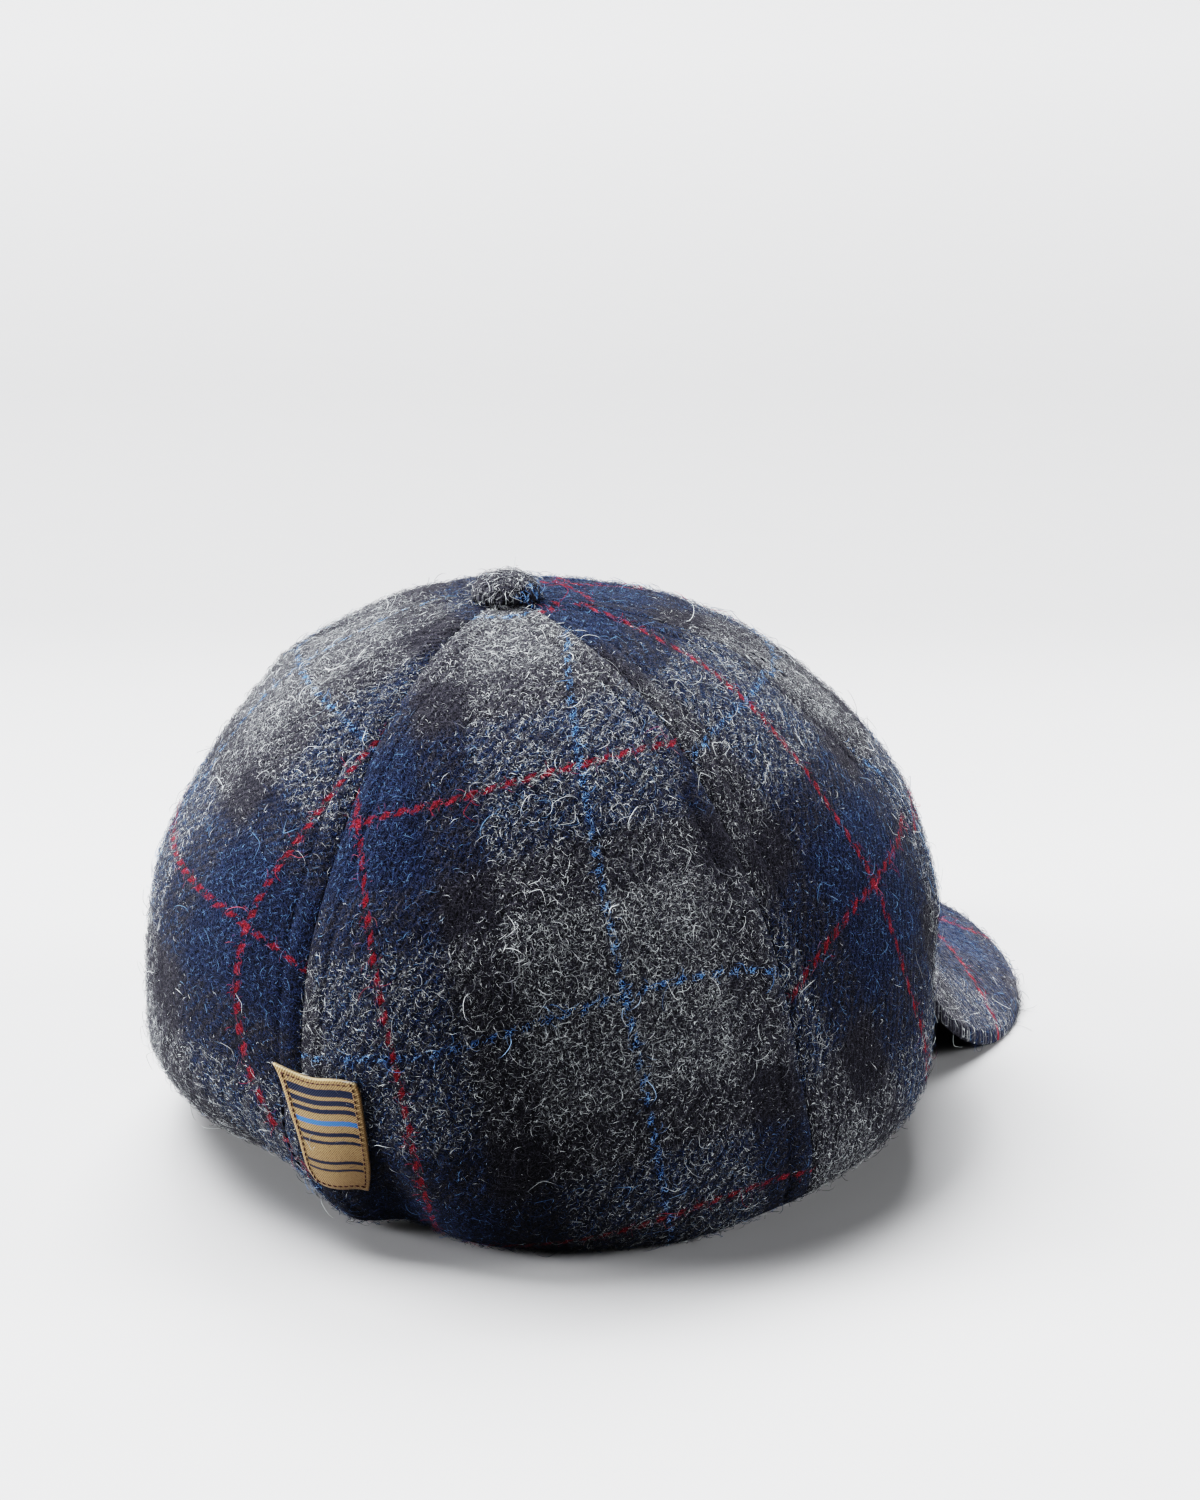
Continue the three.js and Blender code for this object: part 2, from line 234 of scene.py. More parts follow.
def panel_grids(index):
    """The outer and inner points of a panel, and where each outer point lies in the plaid."""
    angles = np.radians(RIM_ROLL_ANGLES)
    face_rises = np.linspace(RIM_ROLL["rise"], TOP_RISE, OUTSIDE_ROWS)
    rises = np.concatenate([RIM_ROLL["rise"] * (1 - np.sin(angles)), face_rises])[:, None]
    rolled_in = np.concatenate([(1 - np.cos(angles)) / 2, 0 * face_rises])[:, None]
    from_turn, to_turn = seam_turn(index, rises), seam_turn(index + 1, rises)
    shares = np.linspace(0, 1, MEASURE_POINTS["across"])
    samples = crown_point(from_turn + (to_turn - from_turn) * shares, rises)
    widths = np.linalg.norm(np.diff(samples, axis=1), axis=-1).sum(1)[:, None]
    squeeze = np.minimum(1, SEAM_SHARE * widths / SEAM_STEPS[-1])
    near = SEAM_STEPS[None] * squeeze
    middle_share = np.linspace(0, 1, MIDDLE_STEPS + 1)[None, 1:-1]
    middle = near[:, -1:] + (widths - 2 * near[:, -1:]) * middle_share
    distances = np.concatenate([near, middle, widths - near[:, ::-1]], 1)
    turns = from_turn + (to_turn - from_turn) * distances / widths
    from_seam = np.minimum(distances, widths - distances) / squeeze
    relief = sum(height * hump(from_seam, *place) for *place, height in zip(*SEAM_RELIEF.values()))
    fade = np.clip(from_seam / WAVE_FADE["distance"], WAVE_FADE["least"], 1)
    relief = relief * squeeze + soft_waves(crown_point(turns, rises)) * fade
    outer = crown_offset(turns, rises, relief * (1 - rolled_in) - CLOTH_THICKNESS * rolled_in)
    line_rises = np.linspace(0, 1, MEASURE_POINTS["up"])
    line_turns = (seam_turn(index, line_rises) + seam_turn(index + 1, line_rises)) / 2
    steps = np.linalg.norm(np.diff(crown_point(line_turns, line_rises), axis=0), axis=-1)
    line_lengths = np.concatenate([[0], np.cumsum(steps)])
    up = np.interp(rises, line_rises, line_lengths) - RIM_ROLL["length"] * rolled_in
    place = plaid_place(index, distances - widths / 2, up)
    last_row, last_column = len(rises) - 1, turns.shape[1] - 1
    inside_rows = np.unique(np.r_[np.arange(len(angles), last_row, INSIDE_STEP["rows"]), last_row])
    inside_columns = np.unique(np.r_[np.arange(0, last_column, INSIDE_STEP["columns"]), last_column])
    picked = np.ix_(inside_rows, inside_columns)
    inner = crown_offset(turns[picked], rises[inside_rows], -CLOTH_THICKNESS)
    inside_rows[0] = 0
    return outer, inner, place, inside_rows, inside_columns


def numbered(rows, columns, start=0):
    """The numbers of a grid's points."""
    return start + np.arange(rows * columns).reshape(rows, columns)


def quads(grid, turned=False):
    """Four-sided faces between the numbered points of a grid."""
    faces = np.stack([grid[:-1, :-1], grid[:-1, 1:], grid[1:, 1:], grid[1:, :-1]], -1).reshape(-1, 4)
    return (faces[:, ::-1] if turned else faces).tolist()


def flat_list(*grids):
    """The points of several grids in one list."""
    return np.concatenate([grid.reshape(-1, grid.shape[-1]) for grid in grids])


def wall_faces(rows, columns, inside_rows, inside_columns):
    """Faces of a closed wall: an outer grid of points and a coarser inner one behind it."""
    outer = numbered(rows, columns)
    inner = numbered(len(inside_rows), len(inside_columns), rows * columns)
    faces = quads(outer) + quads(inner, turned=True)
    for i, (a, b) in enumerate(zip(inside_columns, inside_columns[1:])):
        faces.append([inner[0, i], inner[0, i + 1], *outer[0, a : b + 1][::-1]])
        faces.append([inner[-1, i + 1], inner[-1, i], *outer[-1, a : b + 1]])
    for i, (a, b) in enumerate(zip(inside_rows, inside_rows[1:])):
        faces.append([inner[i + 1, 0], inner[i, 0], *outer[a : b + 1, 0]])
        faces.append([inner[i, -1], inner[i + 1, -1], *outer[a : b + 1, -1][::-1]])
    return faces


def add_object(name, data):
    made = bpy.data.objects.new(name, data)
    bpy.context.scene.collection.objects.link(made)
    return made


def new_mesh(name, points, faces, material=None, place=None):
    """A piece from points in millimetres, with each point's place in the cloth as a UV map."""
    mesh = bpy.data.meshes.new(name)
    points = np.reshape(points, (-1, 3)) * METRES
    mesh.from_pydata(points.tolist(), [], [list(map(int, face)) for face in faces])
    if place is not None:
        corners = np.empty(len(mesh.loops), int)
        mesh.loops.foreach_get("vertex_index", corners)
        place = np.reshape(place, (-1, 2))[corners]
        mesh.uv_layers.new(name="cloth").data.foreach_set("uv", place.ravel())
    mesh.shade_smooth()
    if material is not None:
        mesh.materials.append(material)
    return add_object(name, mesh)


class Field:
    """An output of a node. Sums with it add Math nodes, and a name gives another output of its node."""

    def __init__(self, socket):
        self.socket = socket
        self.node = socket.node
        self.tree = socket.id_data

    def __getitem__(self, name):
        return Field(self.node.outputs[name])

    def __add__(self, other):
        return calc("ADD", self, other)

    def __sub__(self, other):
        return calc("SUBTRACT", self, other)

    def __rsub__(self, other):
        return calc("SUBTRACT", other, self)

    def __mul__(self, other):
        return calc("MULTIPLY", self, other)

    def __truediv__(self, other):
        return calc("DIVIDE", self, other)

    def __rtruediv__(self, other):
        return calc("DIVIDE", other, self)


def feed(socket, value):
    """Links a field to an input, or gives the input a plain value."""
    if isinstance(value, Field):
        value.tree.links.new(value.socket, socket)
    else:
        socket.default_value = value


def add_node(tree, kind, inputs=None, **settings):
    """Adds a node, sets its options and feeds its inputs by name or number. Gives its first output."""
    made = tree.nodes.new(kind)
    for name, value in settings.items():
        setattr(made, name, value)
    for key, value in (inputs or {}).items():
        feed(made.inputs[key], value)
    return Field(made.outputs[0]) if made.outputs else None


def calc(operation, *values):
    """The result of a Math node."""
    tree = next(value.tree for value in values if isinstance(value, Field))
    return add_node(tree, "ShaderNodeMath", dict(enumerate(values)), operation=operation)


def vector_calc(operation, vector, other):
    """The result of a Vector Math node."""
    inputs = {0: vector, "Scale" if operation == "SCALE" else 1: other}
    return add_node(vector.tree, "ShaderNodeVectorMath", inputs, operation=operation)


def split(vector):
    """The X, Y and Z of a vector."""
    return add_node(vector.tree, "ShaderNodeSeparateXYZ", {0: vector})


def joined(x, y, z=0.0):
    """A vector from its parts."""
    return add_node(x.tree, "ShaderNodeCombineXYZ", {0: x, 1: y, 2: z})


def step_up(value, low, high):
    """A smooth rise from 0 to 1 as a value goes from low to high."""
    inputs = {"Value": value, "From Min": low, "From Max": high}
    return add_node(value.tree, "ShaderNodeMapRange", inputs, interpolation_type="SMOOTHSTEP")


def mix(share, first, second, kind="RGBA"):
    """One of two colours or numbers, or a share of both."""
    start, output = {"FLOAT": (2, 0), "RGBA": (6, 2)}[kind]
    inputs = {0: share, start: first, start + 1: second}
    return add_node(share.tree, "ShaderNodeMix", inputs, data_type=kind)[output]


def ramp(share, *stops):
    """A colour ramp from (position, colour) stops."""
    made = add_node(share.tree, "ShaderNodeValToRGB", {"Fac": share})
    elements = made.node.color_ramp.elements
    while len(elements) < len(stops):
        elements.new(0.5)
    for element, (position, colour) in zip(elements, stops):
        element.position = position
        element.color = (*colour, 1)
    return made


OUTPUT_KINDS = {"VALUE": "Float", "VECTOR": "Vector", "RGBA": "Color", "GEOMETRY": "Geometry"}


def node_group(kind, inputs):
    """Turns a function, which works out the outputs from the given inputs, into a node group of its name.
    Each input comes with its first value, or else with its kind of socket."""

    def make(build):
        tree = bpy.data.node_groups.new(build.__name__, kind + "NodeTree")
        for label, value in inputs.items():
            socket_type = "NodeSocket" + {int: "Int", float: "Float"}.get(type(value), str(value))
            socket = tree.interface.new_socket(label, in_out="INPUT", socket_type=socket_type)
            if not isinstance(value, str):
                socket.default_value = value
        results = build(Field(tree.nodes.new("NodeGroupInput").outputs[0]))
        end = tree.nodes.new("NodeGroupOutput")
        for label, result in results.items():
            socket_type = "NodeSocket" + OUTPUT_KINDS[result.socket.type]
            tree.interface.new_socket(label, in_out="OUTPUT", socket_type=socket_type)
            feed(end.inputs[label], result)
        return tree

    return make


def use_group(tree, group, inputs):
    """A group placed in a tree, with its own values."""
    return add_node(tree, tree.bl_idname.replace("Tree", "Group"), inputs, node_tree=group)


# Each yarn is spun from fibres of several shades. The grey yarn is a mix of black, grey and white ones.
DEEP_NAVY = (0.010, 0.014, 0.029)
NAVY = (0.019, 0.030, 0.070)
BRIGHT_NAVY = (0.043, 0.078, 0.163)
PALE_NAVY = (0.13, 0.24, 0.38)
BLACK = (0.020, 0.020, 0.029)
CHARCOAL = (0.051, 0.051, 0.065)
MIDDLE_GREY = (0.085, 0.086, 0.092)
PALE_GREY = (0.315, 0.333, 0.338)
NEAR_WHITE = (0.62, 0.66, 0.67)
DARK_RED = (0.070, 0.006, 0.012)
RED = (0.23, 0.017, 0.032)
PALE_RED = (0.42, 0.11, 0.13)
LINE_BLUE = (0.10, 0.24, 0.50)
PALE_BLUE = (0.42, 0.62, 0.88)
YARNS = {
    "navy": ((0.22, DEEP_NAVY), (0.45, NAVY), (0.7, NAVY), (0.9, BRIGHT_NAVY), (1, PALE_NAVY)),
    "black": ((0.45, BLACK), (0.65, CHARCOAL), (0.88, CHARCOAL), (0.96, MIDDLE_GREY), (1, NEAR_WHITE)),
    "grey": ((0, BLACK), (0.28, CHARCOAL), (0.52, MIDDLE_GREY), (0.82, PALE_GREY), (0.97, NEAR_WHITE)),
    "red": ((0, DARK_RED), (0.4, RED), (0.8, RED), (1, PALE_RED)),
    "blue": ((0.25, DEEP_NAVY), (0.4, LINE_BLUE), (0.65, LINE_BLUE), (1, PALE_BLUE)),
}
LINE_LEAST_COVER = {"red": 0.6, "blue": 0.0}


@node_group("Shader", {
    "Place": 0.0, "Line Place": 0.0, "Shade": 0.5, "Repeat": PLAID_REPEAT, "Navy Reach": 16.5,
    "Black Reach": 30.0, "Ground Blur": 2.2, "Line Reach": 0.8, "Line Blur": 0.3, "Line Cover": 1.0,
})
def yarn_dye(given):
    """Colour of a fibre, from where its yarn lies in the plaid and from its own shade. The thin lines
    have a place of their own, as fibres are matted more from yarn to yarn in the wide bands."""

    def past(distance, reach, blur):
        return step_up(distance, given[reach] - given[blur], given[reach] + given[blur])

    half = given["Repeat"] * 0.5
    from_middle = calc("PINGPONG", given["Place"], half)
    from_red = calc("PINGPONG", given["Line Place"], half)
    distances = {"red": from_red, "blue": half - from_red}
    dyes = {name: ramp(given["Shade"], *stops) for name, stops in YARNS.items()}
    colour = mix(past(from_middle, "Navy Reach", "Ground Blur"), dyes["navy"], dyes["black"])
    colour = mix(past(from_middle, "Black Reach", "Ground Blur"), colour, dyes["grey"])
    for name, least_cover in LINE_LEAST_COVER.items():
        bare = 1.0 - past(distances[name], "Line Reach", "Line Blur")
        cover = mix(given["Line Cover"], least_cover, 1.0, "FLOAT")
        colour = mix(bare * cover, colour, dyes[name])
    return {"Colour": colour}


TWILL = {"yarns": 4, "crossing": 0.35}


@node_group("Shader", {"Vector": "Vector", "Yarn Width": 1.05})
def twill(given):
    """A two-and-two twill: where the yarns that run up lie over the ones that run across."""
    parts = split(given["Vector"])
    wave = calc("SINE", (parts["X"] - parts["Y"]) * math.tau / (given["Yarn Width"] * TWILL["yarns"]))
    on_top = step_up(wave, -TWILL["crossing"], TWILL["crossing"])
    return {"Upright On Top": on_top, "Height": calc("ABSOLUTE", wave)}


@node_group("Shader", {"Vector": "Vector", "Chance": 0.5, "Ground Lean": 0.25, "Line Lean": 0.7})
def picked_yarn(given):
    """Which yarn a fibre comes out of: its place in the wide bands, and its place for the thin lines."""
    weave = use_group(given.tree, twill, {"Vector": given["Vector"]})
    parts = split(given["Vector"])
    results = {"Height": weave["Height"]}
    for label, amount in (("Place", "Ground Lean"), ("Line Place", "Line Lean")):
        lean = (weave["Upright On Top"] - 0.5) * given[amount] + 0.5
        upright = calc("LESS_THAN", given["Chance"], lean)
        results[label] = mix(upright, parts["Y"], parts["X"], "FLOAT")
    return results


STROKE_CORE = {"width": 0.35, "length": 0.7}
# Odd numbers that keep the draws of each layer and each fibre apart.
LAYER_SHIFT = 3.7
PICK_DRAW = 7.31
CHANCE_DRAW = 37.7


@node_group("Shader", {
    "Vector": "Vector", "Cell": 1.0, "Reach": 0.5, "Half Width": 0.12, "Curl": 1.2, "Layer": 0.0
})
def strokes(given):
    """Short curved strokes at all angles, one in each cell of the cloth, as matted fibres lie."""
    tree = given.tree
    shifted = vector_calc("ADD", given["Vector"], joined(given["Layer"], given["Layer"] * LAYER_SHIFT))
    sized = vector_calc("SCALE", shifted, 1.0 / given["Cell"])
    cells = add_node(tree, "ShaderNodeTexVoronoi", {"Vector": sized, "Scale": 1.0}, voronoi_dimensions="2D")
    shades = add_node(tree, "ShaderNodeSeparateColor", {0: cells["Color"]})
    inputs = {"Vector": vector_calc("SUBTRACT", sized, cells["Position"]), "Angle": shades[0] * math.tau}
    parts = split(add_node(tree, "ShaderNodeVectorRotate", inputs, rotation_type="Z_AXIS"))
    curve = parts["X"] * parts["X"] * ((shades[1] - 0.5) * given["Curl"])
    aside = calc("ABSOLUTE", parts["Y"] - curve)
    along = calc("ABSOLUTE", parts["X"])
    thin = 1.0 - step_up(aside, given["Half Width"] * STROKE_CORE["width"], given["Half Width"])
    short = 1.0 - step_up(along, given["Reach"] * STROKE_CORE["length"], given["Reach"])
    return {"Cover": thin * short, "Shade": shades[2], "Pick": calc("FRACT", shades[1] * PICK_DRAW)}


STROKE_LAYERS = table(
    "cell reach half_width curl layer",
    (0.5, 0.66, 0.135, 1.6, 5),
    (0.65, 0.66, 0.11, 1.9, 17),
    (0.95, 0.62, 0.075, 2.2, 31),
    (1.4, 0.60, 0.045, 2.6, 47),
)
LAYER_FADE = 0.6
WORN_LINES = {"scale": 0.16, "from": 0.26, "to": 0.46}
# The twill's relief, and the painted shade of its grooves.
TWILL_RELIEF_AND_SHADE = {"light": 0.1, "least_light": 0.92, "height": 0.4}


def named_inputs(values):
    """Values under the names of a node's inputs."""
    return {name.replace("_", " ").title(): value for name, value in values.items()}


def dyed(tree, picked, shade, line_cover):
    """The colour of fibres that come out of the picked yarns."""
    inputs = {name: picked[name] for name in ("Place", "Line Place")}
    return use_group(tree, yarn_dye, {**inputs, "Shade": shade, "Line Cover": line_cover})


@node_group("Shader", {"Vector": "Vector", "Grain": "Vector", "Painted Gap Light": 0.3, "Stray": 0.9})
def wool(given):
    """The face of the brushed cloth: matted fibres in the colours of the yarns below them, with painted
    shade in the gaps between the fibres.
    """
    tree = given.tree
    inputs = {"Vector": given["Vector"], "Scale": 0.9, "Detail": 2.0}
    stray = add_node(tree, "ShaderNodeTexNoise", inputs, noise_dimensions="2D")["Color"]
    stray = vector_calc("SCALE", vector_calc("SUBTRACT", stray, (0.5, 0.5, 0.5)), given["Stray"])
    place, grain = (vector_calc("ADD", given[name], stray) for name in ("Vector", "Grain"))
    cover, shade, pick, height = 0.0, 0.25, 0.5, 0.0
    for row in zip(*STROKE_LAYERS.values()):
        sizes = named_inputs(dict(zip(STROKE_LAYERS, row)))
        made = use_group(tree, strokes, {"Vector": grain, **sizes})
        shade = mix(made["Cover"], shade, made["Shade"], "FLOAT")
        pick = mix(made["Cover"], pick, made["Pick"], "FLOAT")
        cover = calc("MAXIMUM", cover, made["Cover"])
        height = made["Cover"] + height * LAYER_FADE
    picked = use_group(tree, picked_yarn, {"Vector": place, "Chance": pick})
    inputs = {"Vector": given["Vector"], "Scale": WORN_LINES["scale"], "Detail": 1.0}
    worn = add_node(tree, "ShaderNodeTexNoise", inputs)
    colour = dyed(tree, picked, shade, step_up(worn, WORN_LINES["from"], WORN_LINES["to"]))
    # Painted shade: the twill's grooves are painted darker and its ridges lighter, as the relief would be
    # lit.
    painted_row_light = picked["Height"] * TWILL_RELIEF_AND_SHADE["light"] + TWILL_RELIEF_AND_SHADE["least_light"]
    # Painted shade: where no fibre stroke lies, the ground keeps only the painted gap light, as if shaded by
    # the fibres around it.
    light = mix(cover, given["Painted Gap Light"], 1.0, "FLOAT") * painted_row_light
    height = height + picked["Height"] * TWILL_RELIEF_AND_SHADE["height"]
    return {"Colour": vector_calc("SCALE", colour, light), "Height": height}


def new_material(name, roughness, sheen=0.0):
    """A material, its tree and its shader's inputs; sheen is the soft light of cloth at a low angle."""
    material = bpy.data.materials.new(name)
    material.use_nodes = True
    tree = material.node_tree
    tree.nodes.clear()
    inputs = {"Roughness": roughness, "Specular IOR Level": 0.1}
    inputs |= {"Sheen Weight": sheen, "Sheen Roughness": 0.5}
    surface = add_node(tree, "ShaderNodeBsdfPrincipled", inputs)
    add_node(tree, "ShaderNodeOutputMaterial", {"Surface": surface})
    return material, tree, surface.node.inputs


def raised(shader, height, distance):
    """Relief from a height between 0 and about 1."""
    inputs = {"Height": height, "Distance": distance * METRES, "Strength": 1.0}
    feed(shader["Normal"], add_node(height.tree, "ShaderNodeBump", inputs))


def wool_material(name, sheen, painted_gap_light, flat=False):
    """The brushed cloth, with painted shade between its fibres. On a flat piece the fibres keep their shape
    where the plaid is drawn out.
    """
    material, tree, shader = new_material(name, 0.95, sheen)
    place = add_node(tree, "ShaderNodeUVMap", uv_map="cloth")
    spot = add_node(tree, "ShaderNodeTexCoord")["Object"]
    grain = vector_calc("SCALE", spot, 1 / METRES) if flat else place
    made = use_group(tree, wool, {"Vector": place, "Grain": grain, "Painted Gap Light": painted_gap_light})
    feed(shader["Base Color"], made["Colour"])
    raised(shader, made["Height"], 0.35)
    return material


plaid_wool = wool_material("plaid_wool", 0.03, 0.3)

panels = {}
for index, name in enumerate(PANELS):
    outer, inner, place, inside_rows, inside_columns = panel_grids(index)
    faces = wall_faces(*outer.shape[:2], inside_rows, inside_columns)
    places = flat_list(place, place[np.ix_(inside_rows, inside_columns)])
    piece = new_mesh(f"panel_{name}_cloth", flat_list(outer, inner), faces, plaid_wool, places)
    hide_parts(f"panel_{name}")
    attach(piece, "root")
    panels[name] = (outer, place)


# Nap
# Brushing has raised the cloth's surface into a nap of short curved fibres, with some longer curled ones
# standing clear of it. They lie at all angles and take the colour of the yarn that they came out of.
NAP = table(
    "length sweep lift segments thickness wave",
    (1.8, 0.8, 0.35, 2, 0.070, 0),
    (2.6, 1.7, 0.45, 3, 0.065, 0),
    (1.5, 1.0, 0.55, 2, 0.075, 0),
    (2.2, 0.5, 0.25, 2, 0.060, 0),
    (1.7, 1.2, 0.2, 2, 0.065, 0),
    (2.6, 0.6, 0.6, 2, 0.060, 0),
)
HAIRS = table(
    "length sweep lift segments thickness wave",
    (4.5, 1.3, 0.8, 5, 0.075, 0.06),
    (6.0, 2.3, 0.7, 7, 0.070, -0.08),
    (3.4, 0.9, 1.2, 4, 0.070, 0),
    (7.5, 3.0, 0.9, 8, 0.070, 0.09),
    (5.0, -1.8, 1.0, 6, 0.075, 0.07),
)
FUZZ_SEEDS = {
    "tilt_x": 11, "tilt_y": 21, "spin": 31, "size": 41, "kind": 51, "shade": 61, "stray_x": 71,
    "stray_y": 81,
}
HAIR_SEED_STEP = 100
STRAND = {"lift_angle": 2.4, "radius_share": 0.58, "joined_within": 1e-6}
# No strand comes nearer to the surface that the cap lies on than this.
LEAST_HEIGHT = 0.1
# Each strand has a small cell of its own in the flat map, so that its colour can be kept there.
FLAT_MAP = {"across": 200.0, "share": 0.7, "margin": 0.15}


def store(geometry, name, value, data_type, domain="POINT"):
    """Keeps a value on the geometry under a name."""
    inputs = {"Geometry": geometry, "Name": name, "Value": value}
    kinds = {"data_type": data_type, "domain": domain}
    return add_node(geometry.tree, "GeometryNodeStoreNamedAttribute", inputs, **kinds)


def stored(tree, name, data_type):
    """A value that the geometry keeps under a name."""
    return add_node(tree, "GeometryNodeInputNamedAttribute", {"Name": name}, data_type=data_type)


def finished(instances, material):
    """Instances as one smooth mesh of one material."""
    smooth = add_node(instances.tree, "GeometryNodeSetShadeSmooth", {0: instances})
    return add_node(instances.tree, "GeometryNodeSetMaterial", {"Geometry": smooth, "Material": material})


@node_group("Geometry", {
    "Length": 0.002, "Sweep": 1.0, "Lift": 0.0005, "Wave": 0.0, "Thickness": 0.0002, "Segments": 3,
    "Sides": 3,
})
def strand(given):
    """One fibre: a thin curved spindle that lies along X and lifts towards its tip."""
    tree = given.tree
    line = add_node(tree, "GeometryNodeCurvePrimitiveLine", {"Start": (0, 0, 0), "End": (1, 0, 0)})
    evened = add_node(tree, "GeometryNodeResampleCurve", {"Curve": line, "Count": given["Segments"] + 1})
    along = add_node(tree, "GeometryNodeSplineParameter")["Factor"]
    angle = along * given["Sweep"]
    radius = given["Length"] / given["Sweep"]
    swing = given["Wave"] * calc("SINE", along * math.tau)
    x = radius * calc("SINE", angle)
    y = radius * (1.0 - calc("COSINE", angle)) + swing * given["Length"]
    z = given["Lift"] * calc("SINE", along * STRAND["lift_angle"])
    bent = add_node(tree, "GeometryNodeSetPosition", {"Geometry": evened, "Position": joined(x, y, z)})
    belly = calc("SQRT", calc("ABSOLUTE", calc("SINE", along * math.pi)))
    inputs = {"Curve": bent, "Radius": belly * (given["Thickness"] * STRAND["radius_share"])}
    sized = add_node(tree, "GeometryNodeSetCurveRadius", inputs)
    ring = add_node(tree, "GeometryNodeCurvePrimitiveCircle", {"Resolution": given["Sides"], "Radius": 1.0})
    side = add_node(tree, "GeometryNodeSplineParameter")["Factor"]
    inputs = {
        "Curve": store(sized, "along", along, "FLOAT"),
        "Profile Curve": store(ring, "side", side, "FLOAT"),
        "Scale": add_node(tree, "GeometryNodeInputRadius"),
    }
    tube = add_node(tree, "GeometryNodeCurveToMesh", inputs)
    inputs = {"Geometry": tube, "Distance": STRAND["joined_within"]}
    return {"Mesh": add_node(tree, "GeometryNodeMergeByDistance", inputs)}


def random_value(tree, low, high, seed, kind="FLOAT"):
    """A random number or whole number for each point."""
    start, output = {"FLOAT": (2, 1), "INT": (4, 2)}[kind]
    inputs = {start: low, start + 1: high, "Seed": seed}
    return add_node(tree, "FunctionNodeRandomValue", inputs, data_type=kind)[output]


@node_group("Geometry", {
    "Geometry": "Geometry", "Nap Density": 1e6, "Hair Density": 5e4, "Tilt": 0.22, "Least Size": 0.65,
    "Greatest Size": 1.4, "Scatter": 0.9, "Seed": 1, "Material": "Material",
})
def fuzz(given):
    """Strands spread over a surface: a nap, and fewer hairs. Each keeps its root's place in the cloth."""
    tree = given.tree
    grown = add_node(tree, "GeometryNodeJoinGeometry")
    cloth = split(stored(tree, "cloth", "FLOAT_VECTOR"))
    pile = stored(tree, "pile", "FLOAT")
    # Painted light: hairs take only the paler shades of their yarn, as they stand clear of the nap's shade
    # and catch the light.
    layers = ((NAP, "Nap Density", 0.0), (HAIRS, "Hair Density", 0.35))
    for order, (rows, density, darkest) in enumerate(layers):
        kinds = add_node(tree, "GeometryNodeGeometryToInstance")
        for length, sweep, lift, segments, thickness, wave in reversed(list(zip(*rows.values()))):
            sizes = {"Length": length * METRES, "Lift": lift * METRES, "Thickness": thickness * METRES}
            sizes |= {"Sweep": sweep, "Segments": int(segments), "Wave": wave}
            feed(kinds.node.inputs[0], use_group(tree, strand, sizes))
        seeds = {use: seed + order for use, seed in FUZZ_SEEDS.items()}
        seed = given["Seed"] + HAIR_SEED_STEP * order
        inputs = {"Mesh": given["Geometry"], "Density": given[density] * pile, "Seed": seed}
        spots = add_node(tree, "GeometryNodeDistributePointsOnFaces", inputs, distribute_method="RANDOM")
        least_tilt = given["Tilt"] * -1
        lean = joined(
            random_value(tree, least_tilt, given["Tilt"], seeds["tilt_x"]),
            random_value(tree, least_tilt, given["Tilt"], seeds["tilt_y"]),
            random_value(tree, 0.0, math.tau, seeds["spin"]),
        )
        spin = add_node(tree, "FunctionNodeEulerToRotation", {0: lean})
        inputs = {"Rotation": spots["Rotation"], "Rotate By": spin}
        turned = add_node(tree, "FunctionNodeRotateRotation", inputs, rotation_space="LOCAL")
        inputs = {
            "Points": spots["Points"], "Instance": kinds, "Pick Instance": True, "Rotation": turned,
            "Scale": random_value(tree, given["Least Size"], given["Greatest Size"], seeds["size"]),
            "Instance Index": random_value(tree, 0, len(rows["length"]) - 1, seeds["kind"], "INT"),
        }
        placed = add_node(tree, "GeometryNodeInstanceOnPoints", inputs)
        shade = random_value(tree, darkest, 1.0, seeds["shade"])
        spot = [
            cloth[axis] + random_value(tree, -1.0, 1.0, seeds[use]) * given["Scatter"]
            for axis, use in (("X", "stray_x"), ("Y", "stray_y"))
        ]
        placed = store(placed, "root", joined(*spot, shade), "FLOAT_VECTOR", "INSTANCE")
        feed(grown.node.inputs[0], placed)
    numbers = store(grown, "number", add_node(tree, "GeometryNodeInputIndex"), "INT", "INSTANCE")
    real = add_node(tree, "GeometryNodeRealizeInstances", {0: numbers})
    spot = split(add_node(tree, "GeometryNodeInputPosition"))
    above = joined(spot["X"], spot["Y"], calc("MAXIMUM", spot["Z"], LEAST_HEIGHT * METRES))
    real = add_node(tree, "GeometryNodeSetPosition", {"Geometry": real, "Position": above})
    number = stored(tree, "number", "INT")
    row = calc("FLOOR", number / FLAT_MAP["across"])
    column = number - row * FLAT_MAP["across"]
    corner = [
        (cell + (stored(tree, name, "FLOAT") * FLAT_MAP["share"] + FLAT_MAP["margin"])) / FLAT_MAP["across"]
        for cell, name in ((column, "along"), (row, "side"))
    ]
    real = store(real, "OFBake", joined(*corner), "FLOAT2", "CORNER")
    return {"Geometry": finished(real, given["Material"])}


HAIR_LINE_COVER = 0.85
fibre_wool, tree, shader = new_material("fibre_wool", 0.8, 0.025)
root = add_node(tree, "ShaderNodeAttribute", attribute_name="root")["Vector"]
shade = split(root)["Z"]
picked = use_group(tree, picked_yarn, {"Vector": root, "Chance": calc("FRACT", shade * CHANCE_DRAW)})
feed(shader["Base Color"], dyed(tree, picked, shade, HAIR_LINE_COVER))


def set_inputs(modifier, values):
    """Sets a modifier's inputs, found by name, through their identifiers."""
    for item in modifier.node_group.interface.items_tree:
        if item.item_type == "SOCKET" and item.in_out == "INPUT" and item.name in values:
            modifier[item.identifier] = values[item.name]


